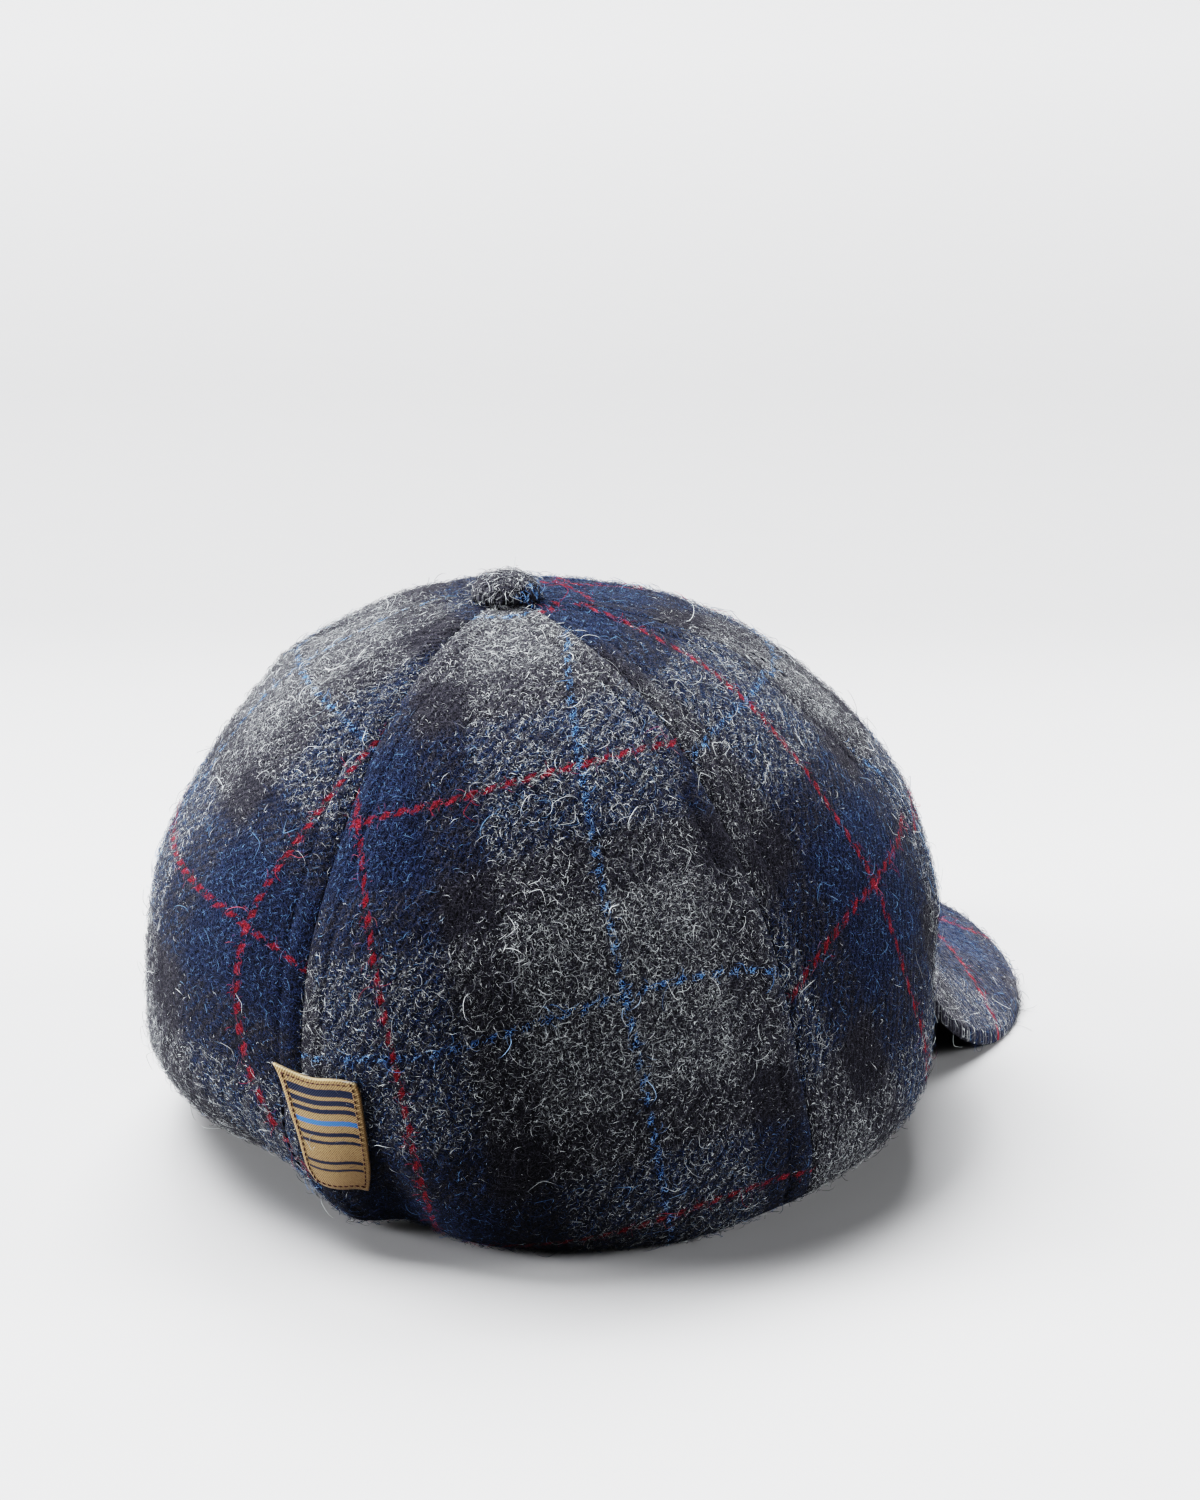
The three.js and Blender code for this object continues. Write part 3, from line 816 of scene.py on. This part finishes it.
def grow(name, base, group, values):
    """The piece that a node tree makes on a base piece, which is then removed."""
    modifier = base.modifiers.new("grow", "NODES")
    modifier.node_group = group
    set_inputs(modifier, values)
    shown = base.evaluated_get(bpy.context.evaluated_depsgraph_get())
    mesh = bpy.data.meshes.new_from_object(shown)
    mesh.name = name
    base.modifiers.remove(modifier)
    bpy.data.objects.remove(base)
    for spare in ("number", "along", "side", "pile"):
        if group is fuzz and spare in mesh.attributes:
            mesh.attributes.remove(mesh.attributes[spare])
    piece = add_object(name, mesh)
    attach(piece, "root")


def grow_fuzz(name, points, place, values, pile=1.0):
    """A piece of fuzz on a grid of points; pile is how thickly it grows at each of them."""
    base = new_mesh(name + "_ground", points, quads(numbered(*points.shape[:2])), place=place)
    attribute = base.data.attributes.new("pile", "FLOAT", "POINT")
    attribute.data.foreach_set("value", np.broadcast_to(pile, points.shape[:2]).ravel())
    grow(name, base, fuzz, {**values, "Material": fibre_wool})


PANEL_DENSITIES = table(
    "nap_density hair_density",
    (0.75e6, 2e4), (0.75e6, 2e4), (1.25e6, 5e4), (1.45e6, 5e4), (1.45e6, 5e4), (1e6, 4e4),
)
for index, name in enumerate(PANELS):
    outer, place = panels[name]
    densities = named_inputs({kind: values[index] for kind, values in PANEL_DENSITIES.items()})
    grow_fuzz(f"panel_{name}_nap", outer[2:], place[2:], {**densities, "Seed": index})


# Seam stitches
# Each seam edge is held down by a row of dark thread a few millimetres from the seam, on both sides. The
# thread lies sunk in the soft cloth, so most of it is hidden by the nap.
@node_group("Geometry", {
    "Geometry": "Geometry", "Spacing": 0.003, "Length": 0.0024, "Lift": 0.0003, "Thickness": 0.0004,
    "Material": "Material",
})
def stitches(given):
    """Stitches along lines; each is a short thick strand that dips into the cloth at both ends."""
    tree = given.tree
    lines = add_node(tree, "GeometryNodeMeshToCurve", {"Mesh": given["Geometry"]})
    inputs = {"Curve": lines, "Length": given["Spacing"]}
    spots = add_node(tree, "GeometryNodeCurveToPoints", inputs, mode="LENGTH")
    along = add_node(tree, "FunctionNodeAlignRotationToVector", {"Vector": spots["Tangent"]}, axis="X")
    inputs = {"Rotation": along, "Vector": stored(tree, "out", "FLOAT_VECTOR")}
    turned = add_node(tree, "FunctionNodeAlignRotationToVector", inputs, axis="Z", pivot_axis="X")
    sizes = {name: given[name] for name in ("Length", "Lift", "Thickness")}
    thread = use_group(tree, strand, {"Sweep": 0.02, "Segments": 6, "Sides": 6, **sizes})
    inputs = {"Points": spots["Points"], "Instance": thread, "Rotation": turned}
    placed = add_node(tree, "GeometryNodeInstanceOnPoints", inputs)
    real = add_node(tree, "GeometryNodeRealizeInstances", {0: placed})
    return {"Geometry": finished(real, given["Material"])}


def sew(name, lines, outs, stitch, thread):
    """A piece of stitches along rows of points in millimetres."""
    points = np.array(lines)
    numbers = numbered(*points.shape[:2])
    edges = np.stack([numbers[:, :-1], numbers[:, 1:]], -1).reshape(-1, 2)
    mesh = bpy.data.meshes.new(name + "_lines")
    mesh.from_pydata((flat_list(points) * METRES).tolist(), edges.tolist(), [])
    mesh.attributes.new("out", "FLOAT_VECTOR", "POINT").data.foreach_set("vector", np.ravel(outs))
    sizes = {size: stitch[size] * METRES for size in ("spacing", "length", "lift", "thickness")}
    values = {**named_inputs(sizes), "Material": thread}
    grow(name, add_object(name + "_lines", mesh), stitches, values)


def thread_material(name, dark, light):
    """Twisted sewing thread, with painted shade in the grooves of its twist."""
    material, tree, shader = new_material(name, 0.6, 0.05)
    spot = add_node(tree, "ShaderNodeTexCoord")["Object"]
    inputs = {"Vector": spot, "Scale": 900.0, "Distortion": 3.0}
    twist = add_node(tree, "ShaderNodeTexWave", inputs)["Fac"]
    feed(shader["Base Color"], ramp(twist, (0, dark), (1, light)))
    raised(shader, twist, 0.05)
    return material


dark_thread = thread_material("dark_thread", (0.004, 0.004, 0.008), (0.020, 0.022, 0.034))
SEAM_STITCH = {"spacing": 2.9, "length": 2.2, "lift": 0.35, "thickness": 0.45, "depth": 0.7}
SEAM_LINE = {"from_rise": 0.02, "to_rise": 0.93, "points": 90}
stitch_rises = np.linspace(*SEAM_LINE.values())
lines, outs = [], []
for index in range(6):
    seam = seam_turn(index, stitch_rises)
    beside = crown_point(seam + 1, stitch_rises) - crown_point(seam, stitch_rises)
    turn_width = np.linalg.norm(beside, axis=-1)
    for side in (-1, 1):
        turns = seam + side * STITCH_FROM_SEAM * np.minimum(turn_width, 1) / turn_width
        lines.append(crown_offset(turns, stitch_rises, -SEAM_STITCH["depth"]))
        outs.append(crown_out(turns, stitch_rises))
sew("seam_stitches", lines, outs, SEAM_STITCH, dark_thread)


# Peak
# The peak is a curved stiffener covered in the same cloth, with a rounded edge. It is sewn under the
# front of the rim, and its corners come down to the surface.
PEAK = {"thickness": 4.4, "reach": 57, "half_width": 82, "half_turn": 50, "squareness": 2.05, "tuck": 1.6}
PEAK_END = {"length": 3, "side_power": 8, "height_power": 12}
PEAK_ARCH = {"tip_height": 8.5, "corner_x": 62, "corner_height": 2.4, "power": 2.2}
PEAK_GRID = {"columns": 121, "rows": 34, "edge_rows": 7, "edge_from": 0.955}
PEAK_RIPPLE = 0.5
PEAK_LEAST_TOP = 1.2
TOUCH_GAP = 0.35


def peak_point(across, out):
    """A point in the middle of the peak's thickness: across from -1 to 1, out from the crown to the edge."""
    across, out = np.broadcast_arrays(np.asarray(across, float), np.asarray(out, float))
    turn = across * PEAK["half_turn"]
    angle = np.radians(turn)
    outward = np.stack([np.sin(angle), -np.cos(angle), 0 * angle], -1)
    root = crown_point(turn, 0) - outward * PEAK["tuck"]
    root[..., 2] -= TOUCH_GAP + PEAK["thickness"] / 2
    front = SECTIONS["front_reach"][0]
    back_y = CROWN_CENTRE[1] - front * math.cos(math.radians(PEAK["half_turn"]))
    tip_y = CROWN_CENTRE[1] - front - PEAK["reach"]
    sideways, forward = np.sin(across * np.pi / 2), np.maximum(np.cos(across * np.pi / 2), 0)
    power = 2 / PEAK["squareness"]
    edge_x = CROWN_CENTRE[0] + PEAK["half_width"] * np.sign(sideways) * np.abs(sideways) ** power
    edge = np.stack([edge_x, back_y + (tip_y - back_y) * forward**power, 0 * edge_x], -1)
    end = root + outward * PEAK_END["length"]
    edge += (end - edge) * (np.abs(across) ** PEAK_END["side_power"])[..., None]
    aside = np.abs(edge[..., 0] - CROWN_CENTRE[0]) / PEAK_ARCH["corner_x"]
    rise = PEAK_ARCH["corner_height"] - PEAK_ARCH["tip_height"]
    arch = PEAK_ARCH["tip_height"] + rise * aside ** PEAK_ARCH["power"]
    edge[..., 2] = arch + (end[..., 2] - arch) * np.abs(across) ** PEAK_END["height_power"]
    return root + (edge - root) * out[..., None]


peak_across = np.linspace(-1, 1, PEAK_GRID["columns"])[None]
edge_angles = np.linspace(0, np.pi / 2, PEAK_GRID["edge_rows"])[1:]
edge_out = PEAK_GRID["edge_from"] + (1 - PEAK_GRID["edge_from"]) * np.sin(edge_angles)
peak_out = np.concatenate([np.linspace(0, PEAK_GRID["edge_from"], PEAK_GRID["rows"]), edge_out])
half_share = np.concatenate([np.ones(PEAK_GRID["rows"]), np.cos(edge_angles)])[:, None]
peak_half = half_share * PEAK["thickness"] / 2
middle = peak_point(peak_across, peak_out[:, None])
ripple = soft_waves(middle) * PEAK_RIPPLE * half_share
peak_top, peak_under = middle.copy(), middle.copy()
peak_top[..., 2] = np.maximum(middle[..., 2] + peak_half + ripple, PEAK_LEAST_TOP * (half_share > 0.005))
peak_under[..., 2] = np.maximum(middle[..., 2] - peak_half, 0)
# The cloth goes over the top, round the edge and back underneath, so both sides are one grid of rows.
peak_grid = np.concatenate([peak_top, peak_under[:-1][::-1]])
PEAK_PLAID = table(
    "start_x start_y normal_x normal_y stretch",
    (-43.8, -104.1, 0.574, -0.819, 0.72),
    (-58.5, -74.4, 0.634, 0.773, 1.4),
)
top_place = np.stack(
    [
        stretch * ((middle[..., 0] - start_x) * normal_x + (middle[..., 1] - start_y) * normal_y)
        for start_x, start_y, normal_x, normal_y, stretch in zip(*PEAK_PLAID.values())
    ],
    -1,
)
peak_place = np.concatenate([top_place, top_place[:-1][::-1]])
grid = numbered(*peak_grid.shape[:2])
faces = quads(grid, turned=True)
for column in range(grid.shape[1] - 1):
    faces.append([grid[0, column], grid[0, column + 1], grid[-1, column + 1], grid[-1, column]])
faces += [grid[:, 0], grid[::-1, -1]]
# Painted light: the peak's cloth keeps much more painted gap light than the crown's (0.8 against 0.3), so it
# shows lighter, as if more brightly lit.
peak = new_mesh("peak_cloth", peak_grid, faces, wool_material("peak_wool", 0.09, 0.8, flat=True), peak_place)
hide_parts("peak")
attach(peak, "root")
UNDERSIDE_PILE = {"from_row": len(peak_out) + 4, "share": 0.15}
peak_pile = np.ones(grid.shape)
peak_pile[UNDERSIDE_PILE["from_row"] :] = UNDERSIDE_PILE["share"]
peak_fuzz = {"Nap Density": 1.2e6, "Hair Density": 1.2e5, "Seed": 40}
grow_fuzz("peak_nap", peak_grid[::-1], peak_place[::-1], peak_fuzz, peak_pile[::-1])


# Button
# A small covered button hides the point where the six panels meet. It is a flat dome under a scrap of
# the cloth, gathered in below, on a short shank.
BUTTON = {"radius": 7.8, "height": 5.6, "base": 0.45, "shank_radius": 1.4, "shank_length": 3.2}
BUTTON_ARC = {"from_angle": -28, "to_angle": 90, "points": 16}
BUTTON_SIDES = 48
BUTTON_DENTS = table("count depth start", (3, 0.02, 0.6), (7, 0.015, 0))
BUTTON_PLACE = (59, 22)
top = crown_point(0, 1)
profile_angles = np.radians(np.linspace(*BUTTON_ARC.values()))[:-1]
ring = np.concatenate([[BUTTON["shank_radius"]] * 2, BUTTON["radius"] * np.cos(profile_angles)])
domed = BUTTON["base"] + (BUTTON["height"] - BUTTON["base"]) * np.sin(profile_angles)
level = np.concatenate([[-BUTTON["shank_length"], 0], np.maximum(domed, 0)])
around = np.linspace(0, math.tau, BUTTON_SIDES, endpoint=False)
waves = (depth * np.sin(count * around + start) for count, depth, start in zip(*BUTTON_DENTS.values()))
dents = 1 + sum(waves)
across = ring[:, None] * np.stack([np.cos(around), np.sin(around)])[:, None] * dents
dome = np.stack([*across, level[:, None] + 0 * around], -1) + top + [0, 0, TOUCH_GAP]
points = np.concatenate([flat_list(dome), [dome[0].mean(0), top + [0, 0, TOUCH_GAP + BUTTON["height"]]]])
grid = np.pad(numbered(*dome.shape[:2]), ((0, 0), (0, 1)), mode="wrap")
faces = quads(grid)
for side in range(BUTTON_SIDES):
    faces.append([grid[0, side + 1], grid[0, side], len(points) - 2])
    faces.append([grid[-1, side], grid[-1, side + 1], len(points) - 1])
button = new_mesh("button_cloth", points, faces, plaid_wool, points[:, :2] - top[:2] + BUTTON_PLACE)
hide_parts("button")
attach(button, "root")
lapped = np.concatenate([dome[2:], dome[2:, :1]], 1)
lapped_place = lapped[..., :2] - top[:2] + BUTTON_PLACE
grow_fuzz("button_nap", lapped, lapped_place, {"Nap Density": 2.2e6, "Seed": 60})


# Inner band
# A plain ring of dark cotton twill lies inside the rim, turned over at its upper and lower edges.
BAND = {"gap": 0.6, "thickness": 1.6, "bottom": 0.012, "top": 0.165, "columns": 180, "rows": 9}
BAND_CLOTH = {"radius": 88, "height": 160, "hem_spread": 0.06, "hem_share": 0.5}
band_cloth, tree, shader = new_material("band_cloth", 0.85)
place = add_node(tree, "ShaderNodeUVMap", uv_map="cloth")
weave = use_group(tree, twill, {"Vector": place, "Yarn Width": 0.35})
# Painted shade: the band's twill is painted darker in its grooves and lighter on its ridges.
tone = ramp(weave["Height"], (0, (0.006, 0.006, 0.009)), (1, (0.022, 0.023, 0.030)))
feed(shader["Base Color"], tone)
raised(shader, weave["Height"], 0.15)
turns = np.linspace(0, 360, BAND["columns"], endpoint=False)[None]
rises = np.linspace(BAND["bottom"], BAND["top"], BAND["rows"])[:, None]
share = np.linspace(0, 1, BAND["rows"])[:, None]
hems = hump(share, 0, BAND_CLOTH["hem_spread"]) + hump(share, 1, BAND_CLOTH["hem_spread"])
half = (1 - BAND_CLOTH["hem_share"] * hems) * BAND["thickness"] / 2
band_middle = -CLOTH_THICKNESS - BAND["gap"] - BAND["thickness"] / 2
far, near = (crown_offset(turns, rises, band_middle + side * half) for side in (1, -1))
loop = np.concatenate([far, near[::-1]])
faces = quads(np.pad(numbered(*loop.shape[:2]), ((0, 1), (0, 1)), mode="wrap"))
round_way = np.radians(turns) * BAND_CLOTH["radius"]
band_place = np.stack(np.broadcast_arrays(round_way, rises * BAND_CLOTH["height"]), -1)
band_place = np.concatenate([band_place, band_place[::-1]])
band = new_mesh("sweatband_cloth", loop, faces, band_cloth, band_place)
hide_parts("sweatband")
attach(band, "root")


# Label
# A small tan label, woven in a fine twill, lies over the back seam. It is held by one row of dark
# stitches near its edge and carries plain woven bars.
LABEL_SIDES = table(
    "up left_turn right_turn",
    (0, 179.9, 187.0),
    (0.15, 179.3, 188.1),
    (0.3, 179.2, 188.8),
    (0.45, 178.8, 189.1),
    (0.6, 178.0, 189.2),
    (0.8, 177.0, 189.2),
    (0.93, 176.1, 189.1),
    (1, 175.2, 188.6),
)
LABEL_ENDS = table(
    "across bottom_rise top_rise",
    (0, 0.089, 0.231),
    (0.25, 0.083, 0.236),
    (0.5, 0.081, 0.236),
    (0.8, 0.081, 0.237),
    (1, 0.077, 0.235),
)
LABEL_WALL = {"thickness": 0.8, "stand_off": 0.3}
LABEL_COLUMNS, LABEL_ROWS = 41, 49


def label_patch(across, up, distance):
    """Points of the label, which has pulled out of square with the crown."""
    sides = {name: smooth_curve(LABEL_SIDES["up"], turns)(up) for name, turns in LABEL_SIDES.items()}
    ends = {name: smooth_curve(LABEL_ENDS["across"], rises)(across) for name, rises in LABEL_ENDS.items()}
    turn = sides["left_turn"] + (sides["right_turn"] - sides["left_turn"]) * across
    rise = ends["bottom_rise"] + (ends["top_rise"] - ends["bottom_rise"]) * up
    return crown_offset(turn, rise, distance)


across = np.linspace(0, 1, LABEL_COLUMNS)[None]
up = np.linspace(0, 1, LABEL_ROWS)[:, None]
label_surface = LABEL_WALL["stand_off"] + LABEL_WALL["thickness"]
outside = label_patch(across, up, label_surface)
inside = label_patch(across, up, LABEL_WALL["stand_off"])
label_width = np.linalg.norm(np.diff(outside[LABEL_ROWS // 2], axis=0), axis=-1).sum()
label_height = np.linalg.norm(np.diff(outside[:, LABEL_COLUMNS // 2], axis=0), axis=-1).sum()
label_place = np.stack(np.broadcast_arrays((across - 0.5) * label_width, up * label_height), -1)
label_cloth, tree, shader = new_material("label_cloth", 0.75, 0.1)
place = add_node(tree, "ShaderNodeUVMap", uv_map="cloth")
weave = use_group(tree, twill, {"Vector": place, "Yarn Width": 0.27})
fade = add_node(tree, "ShaderNodeTexNoise", {"Vector": place, "Scale": 1.6, "Detail": 4.0})
# The label's tone is partly painted shade, darker in the twill's grooves, and partly tone that differs at
# random across the cloth.
tone = weave["Height"] * 0.75 + fade * 1.1
colour = ramp(tone, (0.45, (0.050, 0.030, 0.015)), (1, (0.190, 0.130, 0.070)))
BAR_COLOURS = ((0.008, 0.012, 0.028, 1), (0.030, 0.095, 0.25, 1), (0.28, 0.22, 0.14, 1))
BARS = table(
    "colour half_width low high",
    (0, 7.2, 24.6, 26.4),
    (0, 7.2, 22.4, 23.7),
    (0, 7.2, 20.4, 21.5),
    (1, 7.2, 17.4, 18.6),
    (0, 7.2, 14.6, 15.6),
    (0, 7.2, 12.6, 13.4),
    (0, 7.2, 7.4, 8.2),
    (0, 7.2, 5.4, 6.0),
    (2, 20, label_height - 0.3, label_height + 5),
)
BAR_EDGE = {"softness": 0.15, "raggedness": 0.35}
parts = split(place)
ragged = parts["Y"] + (fade - 0.5) * BAR_EDGE["raggedness"]
for bar_colour, half_width, low, high in zip(*BARS.values()):
    above_low = step_up(ragged, low - BAR_EDGE["softness"], low + BAR_EDGE["softness"])
    below_high = step_up(ragged, high + BAR_EDGE["softness"], high - BAR_EDGE["softness"])
    within = calc("LESS_THAN", calc("ABSOLUTE", parts["X"]), half_width)
    colour = mix(above_low * below_high * within, colour, BAR_COLOURS[int(bar_colour)])
feed(shader["Base Color"], colour)
raised(shader, weave["Height"], 0.12)
faces = wall_faces(LABEL_ROWS, LABEL_COLUMNS, np.arange(LABEL_ROWS), np.arange(LABEL_COLUMNS))
both_places = flat_list(label_place, label_place)
label = new_mesh("label_cloth", flat_list(outside, inside), faces, label_cloth, both_places)
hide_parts("label")
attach(label, "root")

brown_thread = thread_material("brown_thread", (0.020, 0.008, 0.010), (0.070, 0.032, 0.030))
LABEL_STITCH = {"spacing": 1.3, "length": 1.1, "lift": 0.2, "thickness": 0.26, "depth": 0.02, "margin": 1.15}
LABEL_LEG_POINTS = (20, 30, 20, 30)
side, end = LABEL_STITCH["margin"] / label_width, LABEL_STITCH["margin"] / label_height
corners = ((side, end), (1 - side, end), (1 - side, 1 - end), (side, 1 - end))
legs = zip(corners, corners[1:] + corners[:1], LABEL_LEG_POINTS)
loop = np.concatenate([np.linspace(start, stop, count) for start, stop, count in legs]).T
stitch_line = label_patch(*loop, label_surface - LABEL_STITCH["depth"])
stitch_out = unit(label_patch(*loop, label_surface + 1) - label_patch(*loop, label_surface))
sew("label_stitches", [stitch_line], [stitch_out], LABEL_STITCH, brown_thread)


# Floor, light and camera
# The cap lies on a pale floor. One large soft light hangs over it to the left, one stands behind it, and
# two low ones light its sides.
CAMERA = {"azimuth": 211.7, "elevation": 17.7, "distance": 814, "lens": 84.96}
CAMERA_TARGET = Vector((-10.8, 23.4, 87.9))
FLOOR_REACH, FLOOR_DROP = 12000, 0.15
FLOOR_TONE = (0.300, 0.302, 0.308)
FLOOR_GRAIN = {"depth": 0.03, "least": 0.985}
# Painted shade: the floor's colour darkens from about 300 mm beyond the cap, away from the camera, and
# lightens a little again far off.
FLOOR_DEPTHS = table(
    "depth light",
    (-4000, 1), (150, 1), (300, 0.88), (400, 0.72), (800, 0.64), (2100, 0.82), (4000, 0.82),
)


def away(azimuth, elevation):
    """The way from the cap towards something at an azimuth and elevation, in degrees."""
    a, e = math.radians(azimuth), math.radians(elevation)
    return Vector((math.sin(a) * math.cos(e), -math.cos(a) * math.cos(e), math.sin(e)))


floor_material, tree, shader = new_material("pale_floor", 0.9)
spot = add_node(tree, "ShaderNodeTexCoord")["Object"]
depth = vector_calc("DOT_PRODUCT", spot, -away(CAMERA["azimuth"], 0))["Value"]
low, high = FLOOR_DEPTHS["depth"][[0, -1]] * METRES
share = add_node(tree, "ShaderNodeMapRange", {"Value": depth, "From Min": low, "From Max": high})
stops = [
    ((place * METRES - low) / (high - low), [light * tone for tone in FLOOR_TONE])
    for place, light in zip(*FLOOR_DEPTHS.values())
]
grain = add_node(tree, "ShaderNodeTexNoise", {"Vector": spot, "Scale": 40.0, "Detail": 4.0})
grain = grain * FLOOR_GRAIN["depth"] + FLOOR_GRAIN["least"]
feed(shader["Base Color"], vector_calc("SCALE", ramp(share, *stops), grain))
corners = [(x * FLOOR_REACH, y * FLOOR_REACH, -FLOOR_DROP) for x, y in ((-1, -1), (1, -1), (1, 1), (-1, 1))]
floor = new_mesh("floor", corners, [(0, 1, 2, 3)], floor_material)


def aim(item, target, direction, distance):
    item.location = (target + direction * distance) * METRES
    item.rotation_euler = (-direction).to_track_quat("-Z", "Y").to_euler()


scene = bpy.context.scene
camera_data = bpy.data.cameras.new("camera")
camera_data.lens = CAMERA["lens"]
camera = add_object("camera", camera_data)
aim(camera, CAMERA_TARGET, away(CAMERA["azimuth"], CAMERA["elevation"]), CAMERA["distance"])
scene.camera = camera

LIGHT_NAMES = ("key", "back", "left", "right")
LIGHTS = table(
    "turn elevation size power",
    (-115, 64, 4500, 1920),
    (180, 56, 4000, 1250),
    (-90, 12, 3000, 1680),
    (90, 12, 3000, 1220),
)
LIGHT_DISTANCE = 8000
LIGHT_TARGET = Vector((0, 0, 60))
for name, turn, elevation, size, power in zip(LIGHT_NAMES, *LIGHTS.values()):
    light_data = bpy.data.lights.new(name, "AREA")
    light_data.shape = "SQUARE"
    light_data.size = size * METRES
    light_data.energy = power
    direction = away(CAMERA["azimuth"] + turn, elevation)
    aim(add_object(name, light_data), LIGHT_TARGET, direction, LIGHT_DISTANCE)

world = bpy.data.worlds.new("studio")
world.use_nodes = True
background = world.node_tree.nodes["Background"].inputs
background["Color"].default_value = (1, 1, 1, 1)
background["Strength"].default_value = 0.05
scene.world = world
scene.view_settings.view_transform = "Filmic"
scene.view_settings.look = "Very High Contrast"
